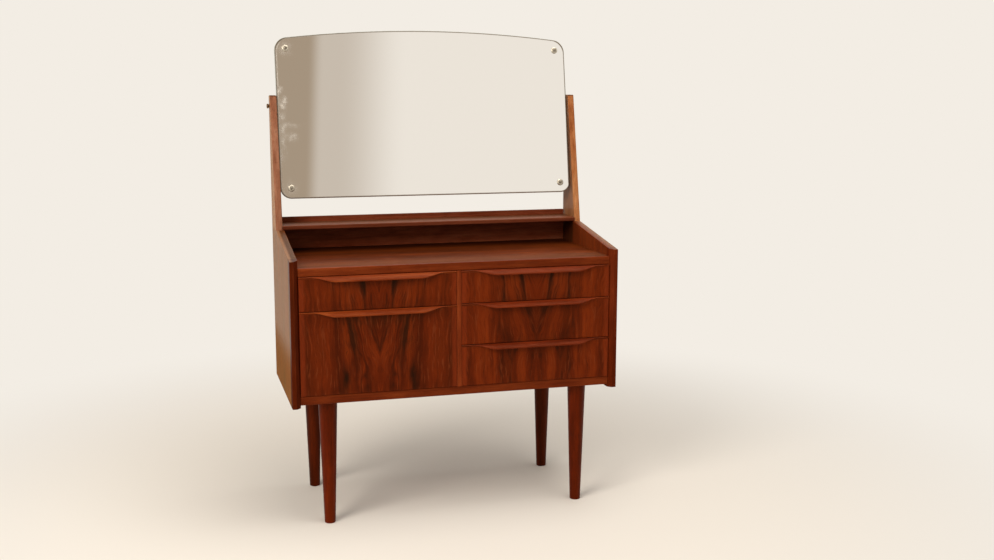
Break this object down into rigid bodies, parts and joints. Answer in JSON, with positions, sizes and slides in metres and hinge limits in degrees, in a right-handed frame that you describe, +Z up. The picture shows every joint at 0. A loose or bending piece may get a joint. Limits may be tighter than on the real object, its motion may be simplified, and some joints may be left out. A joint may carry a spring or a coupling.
{
  "type": "dressing table",
  "caption": "Free-standing wooden dressing table with drawers in two columns, slanted sides, a rear shelf, round tapered legs and a frameless mirror that tilts between two posts.",
  "frame": {"origin": "on the floor, under the middle of the outer box with the mirror at its rest tilt", "axes": "+X to the right of someone facing the table, +Y back towards the wall, +Z up"},
  "size_m": [0.854, 0.4284, 1.2356],
  "materials": {
    "front_veneer": "figured rosewood veneer, satin lacquer",
    "pull_wood": "solid rosewood, oiled",
    "case_veneer": "straight-grained rosewood veneer, satin lacquer",
    "edge_wood": "solid rosewood lipping, satin lacquer",
    "post_wood": "solid rosewood, oiled, orange-brown",
    "leg_wood": "turned hardwood, stained and lacquered",
    "drawer_wood": "plain light hardwood, waxed",
    "drawer_plywood": "thin plywood, sealed",
    "back_plywood": "thin plywood, unfinished",
    "runner_wood": "beech, waxed",
    "dowel_wood": "beech, bare",
    "mirror_board": "stained board, matt",
    "mirror_glass": "silvered glass with a ground edge, slightly aged",
    "fixing_chrome": "plated, lightly worn",
    "fixing_steel": "plain steel",
    "pivot_brass": "turned brass, darkened"
  },
  "bodies": {
    "carcass": {"side_left": "case_veneer", "side_right": "case_veneer", "side_lipping_left": "edge_wood", "side_lipping_right": "edge_wood", "post_left": "post_wood", "post_right": "post_wood", "post_dowels": "dowel_wood", "top_board": "case_veneer", "top_lipping": "edge_wood", "bottom_board": "case_veneer", "bottom_lipping": "edge_wood", "centre_divider": "edge_wood", "back_panel": "back_plywood", "back_panel_screws": "fixing_steel", "back_rail": "case_veneer", "shelf": "case_veneer", "leg_bolts": "fixing_steel", "leg_front_left": "leg_wood", "leg_front_right": "leg_wood", "leg_rear_left": "leg_wood", "leg_rear_right": "leg_wood", "drawer_left_top_runners": "runner_wood", "drawer_left_deep_runners": "runner_wood", "drawer_right_top_runners": "runner_wood", "drawer_right_middle_runners": "runner_wood", "drawer_right_bottom_runners": "runner_wood"},
    "drawer_left_top": {"drawer_left_top_front": "front_veneer", "drawer_left_top_pull": "pull_wood", "drawer_left_top_sides": "drawer_wood", "drawer_left_top_back": "drawer_wood", "drawer_left_top_bottom": "drawer_plywood"},
    "drawer_left_deep": {"drawer_left_deep_front": "front_veneer", "drawer_left_deep_pull": "pull_wood", "drawer_left_deep_sides": "drawer_wood", "drawer_left_deep_back": "drawer_wood", "drawer_left_deep_bottom": "drawer_plywood"},
    "drawer_right_top": {"drawer_right_top_front": "front_veneer", "drawer_right_top_pull": "pull_wood", "drawer_right_top_sides": "drawer_wood", "drawer_right_top_back": "drawer_wood", "drawer_right_top_bottom": "drawer_plywood"},
    "drawer_right_middle": {"drawer_right_middle_front": "front_veneer", "drawer_right_middle_pull": "pull_wood", "drawer_right_middle_sides": "drawer_wood", "drawer_right_middle_back": "drawer_wood", "drawer_right_middle_bottom": "drawer_plywood"},
    "drawer_right_bottom": {"drawer_right_bottom_front": "front_veneer", "drawer_right_bottom_pull": "pull_wood", "drawer_right_bottom_sides": "drawer_wood", "drawer_right_bottom_back": "drawer_wood", "drawer_right_bottom_bottom": "drawer_plywood"},
    "mirror": {"mirror_glass": "mirror_glass", "mirror_backing": "mirror_board", "mirror_rosettes": "fixing_chrome", "mirror_screws": "fixing_chrome", "pivot_bushes": "pivot_brass", "pivot_spacers": "pivot_brass"},
    "pivot_knob_left": {"pivot_bolt_left": "pivot_brass"},
    "pivot_knob_right": {"pivot_bolt_right": "pivot_brass"}
  },
  "joints": [
    {"name": "drawer_left_top_slide", "type": "slide", "parent": "carcass", "child": "drawer_left_top", "axis": [0, -1, 0], "range_m": [0, 0.27]},
    {"name": "drawer_left_deep_slide", "type": "slide", "parent": "carcass", "child": "drawer_left_deep", "axis": [0, -1, 0], "range_m": [0, 0.27]},
    {"name": "drawer_right_top_slide", "type": "slide", "parent": "carcass", "child": "drawer_right_top", "axis": [0, -1, 0], "range_m": [0, 0.27]},
    {"name": "drawer_right_middle_slide", "type": "slide", "parent": "carcass", "child": "drawer_right_middle", "axis": [0, -1, 0], "range_m": [0, 0.27]},
    {"name": "drawer_right_bottom_slide", "type": "slide", "parent": "carcass", "child": "drawer_right_bottom", "axis": [0, -1, 0], "range_m": [0, 0.27]},
    {"name": "mirror_tilt", "type": "hinge", "parent": "carcass", "child": "mirror", "pos_m": [0, 0.17278, 1.036], "axis": [1, 0, 0], "range_deg": [-30, 40]},
    {"name": "pivot_knob_left_turn", "type": "hinge", "parent": "carcass", "child": "pivot_knob_left", "pos_m": [-0.42, 0.17278, 1.036], "axis": [-1, 0, 0], "range_deg": [0, 180]},
    {"name": "pivot_knob_right_turn", "type": "hinge", "parent": "carcass", "child": "pivot_knob_right", "pos_m": [0.42, 0.17278, 1.036], "axis": [1, 0, 0], "range_deg": [0, 180]}
  ]
}
